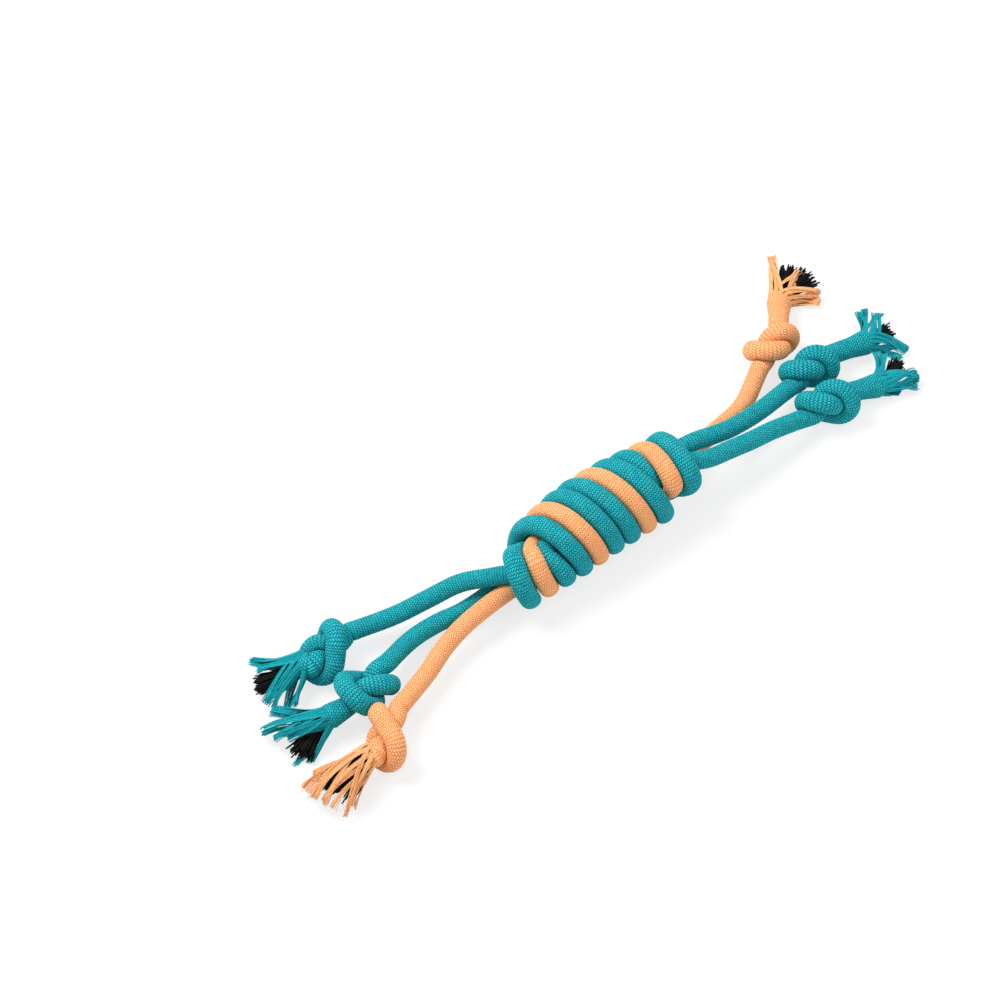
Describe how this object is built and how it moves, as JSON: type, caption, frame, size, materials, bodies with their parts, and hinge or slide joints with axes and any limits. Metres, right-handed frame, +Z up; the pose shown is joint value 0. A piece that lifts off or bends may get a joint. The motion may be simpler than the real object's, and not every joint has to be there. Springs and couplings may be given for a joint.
{
  "type": "rope dog toy",
  "caption": "Dog tug toy of soft braided ropes tied together in a long barrel knot, with loose legs at both ends that finish in overhand knots and frayed tassels.",
  "frame": {"origin": "on the flat underside of the barrel knot, below its axis, where it rests on the ground", "axes": "+X along the barrel knot towards the end where the orange leg turns away to the back, +Z up from the ground"},
  "size_m": [0.3952, 0.1356, 0.0421],
  "materials": {
    "teal_rope": "braided cotton, matt",
    "orange_rope": "braided cotton, matt",
    "core_yarn": "loose yarn, matt"
  },
  "bodies": {
    "barrel": {"teal_a_winding": "teal_rope", "orange_winding": "orange_rope", "teal_b_winding": "teal_rope", "teal_a_pass_in": "teal_rope", "teal_a_pass_out": "teal_rope", "orange_pass_in": "orange_rope", "orange_pass_out": "orange_rope", "teal_b_pass_in": "teal_rope", "teal_b_pass_out": "teal_rope", "teal_a_bend_left": "teal_rope", "teal_a_bend_right": "teal_rope", "orange_bend_left": "orange_rope", "orange_bend_right": "orange_rope", "teal_b_bend_left": "teal_rope", "teal_b_bend_right": "teal_rope"},
    "teal_a_left_end": {"teal_a_leg_left": "teal_rope", "teal_a_knot_left": "teal_rope", "teal_a_fringe_left": "teal_rope", "teal_a_tuft_left": "core_yarn"},
    "teal_a_right_end": {"teal_a_leg_right": "teal_rope", "teal_a_knot_right": "teal_rope", "teal_a_fringe_right": "teal_rope", "teal_a_tuft_right": "core_yarn"},
    "orange_left_end": {"orange_leg_left": "orange_rope", "orange_knot_left": "orange_rope", "orange_fringe_left": "orange_rope", "orange_tuft_left": "core_yarn"},
    "orange_right_end": {"orange_leg_right": "orange_rope", "orange_knot_right": "orange_rope", "orange_fringe_right": "orange_rope", "orange_tuft_right": "core_yarn"},
    "teal_b_left_end": {"teal_b_leg_left": "teal_rope", "teal_b_knot_left": "teal_rope", "teal_b_fringe_left": "teal_rope", "teal_b_tuft_left": "core_yarn"},
    "teal_b_right_end": {"teal_b_leg_right": "teal_rope", "teal_b_knot_right": "teal_rope", "teal_b_fringe_right": "teal_rope", "teal_b_tuft_right": "core_yarn"}
  },
  "joints": [
    {"name": "teal_a_left_lift", "type": "hinge", "parent": "barrel", "child": "teal_a_left_end", "pos_m": [-0.05602, 0.00099, 0.02126], "axis": [0.2831, 0.9591, 0], "range_deg": [0, 50], "deforming": ["teal_a_bend_left"]},
    {"name": "teal_a_right_lift", "type": "hinge", "parent": "barrel", "child": "teal_a_right_end", "pos_m": [0.06826, 0.00561, 0.02627], "axis": [0.0724, -0.9974, 0], "range_deg": [-10, 50], "deforming": ["teal_a_bend_right"]},
    {"name": "orange_left_lift", "type": "hinge", "parent": "barrel", "child": "orange_left_end", "pos_m": [-0.0563, -0.00686, 0.01549], "axis": [-0.2607, 0.9654, 0], "range_deg": [-10, 45], "deforming": ["orange_bend_left"]},
    {"name": "orange_right_lift", "type": "hinge", "parent": "barrel", "child": "orange_right_end", "pos_m": [0.07534, 0.01175, 0.00759], "axis": [0.2895, -0.9572, 0], "range_deg": [-10, 35], "deforming": ["orange_bend_right"]},
    {"name": "teal_b_left_lift", "type": "hinge", "parent": "barrel", "child": "teal_b_left_end", "pos_m": [-0.06542, 0.00032, 0.00935], "axis": [-0.0732, 0.9973, 0], "range_deg": [-10, 30], "deforming": ["teal_b_bend_left"]},
    {"name": "teal_b_right_lift", "type": "hinge", "parent": "barrel", "child": "teal_b_right_end", "pos_m": [0.06644, -0.00493, 0.02579], "axis": [-0.0982, -0.9952, 0], "range_deg": [-10, 50], "deforming": ["teal_b_bend_right"]}
  ]
}
